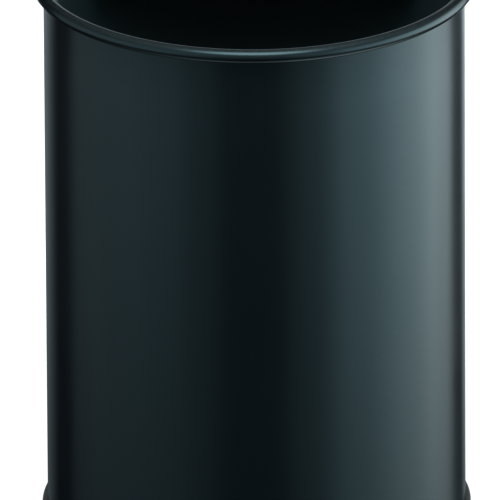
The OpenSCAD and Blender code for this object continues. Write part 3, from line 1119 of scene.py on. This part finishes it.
floor_bm = bmesh.new()
bmesh.ops.create_circle(floor_bm, cap_ends=True, segments=96, radius=FLOOR_RADIUS)
studio_floor = new_object("studio_floor", floor_bm)
studio_floor.data.materials.append(floor_material)
studio_floor.location.z = -FLOOR_DROP
studio_floor.visible_glossy = False

# %% [markdown]
# ## The light tent
# Smooth black paint shows nothing but reflections, so the lighting is what draws its shape. The
# bin stands in a round tent that glows by direction. It is dark towards the viewer, has a wide
# bright panel on the right and a dim one on the left, and fades towards the floor. Two dark gaps
# behind draw the thin dark lines inside the wall's edges. A soft box overhead lights the rim,
# and a little glow from below stands for the pale table that the paint would mirror. The tent
# is hidden from the camera, so every view can look in from outside.

# %% Light tent
TENT_RADIUS = 2.5
TENT_HEIGHT = 0.17
DIM_TINT = Vector((0.74, 0.92, 1.0))
BRIGHT_TINT = Vector((0.84, 0.97, 1.0))
# Degrees to the right of the viewer's side, and the glow there.
PANELS = (
    (-180, 0.62), (-168, 0.36), (-156, 0.32), (-147, 0.20), (-138, 0.02), (-124, 0.04),
    (-110, 0.38), (-92, 0.57), (-70, 0.69), (-47, 0.62), (-30, 0.34), (-12, 0.05), (10, 0.05),
    (31, 0.54), (56, 1.85), (90, 3.25), (110, 3.45), (126, 2.15), (140, 0.2), (153, 0.1),
    (162, 0.8), (170, 1.15), (180, 0.62))
BRIGHTEST = 4.0
# Heights in degrees above the horizon, low and high, and the glow at each.
SIDES_FROM_BELOW = (-31.0, -13.5, 0.06, 1.08)
FLOOR_ECHO = (-56.0, -38.0, 0.30, 0.0)
SIDES_TO_ABOVE = (8.0, 34.0, 1.0, 0.05)
TABLE = (-80.0, -60.0, 0.5, 0.0)
# The soft box's glow, its lean towards the viewer, and the angles where its fade starts and ends.
OVERHEAD_GLOW = 6.1
OVERHEAD_LEAN = math.radians(26)
OVERHEAD_FULL = 8.0
OVERHEAD_EDGE = 28.0
DOME_GLOW = 0.8
DOME_EDGE = 95.0

tent_material = bpy.data.materials.new("tent_glow")
tent_material.use_nodes = True
tree = tent_material.node_tree
tree.nodes.clear()
from_middle = {0: object_place(tree), 1: (0, 0, TENT_HEIGHT)}
offset = add(tree, "ShaderNodeVectorMath", from_middle, operation="SUBTRACT").outputs[0]
direction = add(tree, "ShaderNodeVectorMath", {0: offset}, operation="NORMALIZE").outputs[0]
part = add(tree, "ShaderNodeSeparateXYZ", {0: direction}).outputs
azimuth = math_node(tree, "ARCTAN2", part["X"], math_node(tree, "MULTIPLY", part["Y"], -1.0))
turned = math_node(tree, "ADD", math_node(tree, "DIVIDE", azimuth, math.tau), 0.5)
ramp = add(tree, "ShaderNodeValToRGB", {"Fac": turned})
ramp.color_ramp.interpolation = "EASE"
stops = ramp.color_ramp.elements
for number, (degrees, glow) in enumerate(PANELS):
    place = degrees / 360 + 0.5
    stop = stops[number] if number < 2 else stops.new(place)
    stop.position = place
    share = glow / BRIGHTEST
    stop.color = (*(share * DIM_TINT.lerp(BRIGHT_TINT, min(1, 1.2 * share))), 1)

DEGREES = 180 / math.pi
height = math_node(tree, "MULTIPLY", math_node(tree, "ARCSINE", part["Z"]), DEGREES)
rising = spread(tree, height, *SIDES_FROM_BELOW)
floor_echo = spread(tree, height, *FLOOR_ECHO)
falling = spread(tree, height, *SIDES_TO_ABOVE)
lit = math_node(tree, "ADD", math_node(tree, "MULTIPLY", rising, falling), floor_echo)
fade = math_node(tree, "MULTIPLY", lit, BRIGHTEST)
side_light = {0: ramp.outputs["Color"], "Scale": fade}
side_glow = add(tree, "ShaderNodeVectorMath", side_light, operation="SCALE").outputs[0]

axis = (0, -math.sin(OVERHEAD_LEAN), math.cos(OVERHEAD_LEAN))
closeness = add(tree, "ShaderNodeVectorMath", {0: direction, 1: axis}, operation="DOT_PRODUCT")
angle = math_node(tree, "ARCCOSINE", closeness.outputs["Value"])
away = math_node(tree, "MULTIPLY", angle, DEGREES)
soft_box = spread(tree, away, OVERHEAD_FULL, OVERHEAD_EDGE, OVERHEAD_GLOW, 0.0)
dome = spread(tree, away, OVERHEAD_FULL, DOME_EDGE, DOME_GLOW, 0.0)
overhead = math_node(tree, "ADD", soft_box, dome)
plain_light = {0: BRIGHT_TINT, "Scale": math_node(tree, "ADD", overhead, spread(tree, height, *TABLE))}
plain_glow = add(tree, "ShaderNodeVectorMath", plain_light, operation="SCALE").outputs[0]
glow = add(tree, "ShaderNodeVectorMath", {0: side_glow, 1: plain_glow})
emission = add(tree, "ShaderNodeEmission", {"Color": glow.outputs[0], "Strength": 1.0})
tree.links.new(emission.outputs[0], tree.nodes.new("ShaderNodeOutputMaterial").inputs["Surface"])

print("tent panels:", len(stops))

# %% [markdown]
# The tent itself is a ball with its middle at half the bin's height. It has no lamps. Its whole
# inner face is the light.

# %% Tent ball
tent_bm = bmesh.new()
bmesh.ops.create_uvsphere(
    tent_bm, u_segments=64, v_segments=32, radius=TENT_RADIUS,
    matrix=Matrix.Translation((0, 0, TENT_HEIGHT)))
light_tent = new_object("light_tent", tent_bm)
light_tent.data.materials.append(tent_material)
light_tent.visible_camera = False

# %% [markdown]
# Past the floor's edge the camera sees the world, so the world is white as well. The Standard
# view transform keeps white as white.

# %% World
world = bpy.data.worlds.new("white_studio")
world.use_nodes = True
background = next(node for node in world.node_tree.nodes if node.type == "BACKGROUND")
background.inputs["Color"].default_value = (1, 1, 1, 1)
background.inputs["Strength"].default_value = 1.0
bpy.context.scene.world = world
bpy.context.scene.view_settings.view_transform = "Standard"
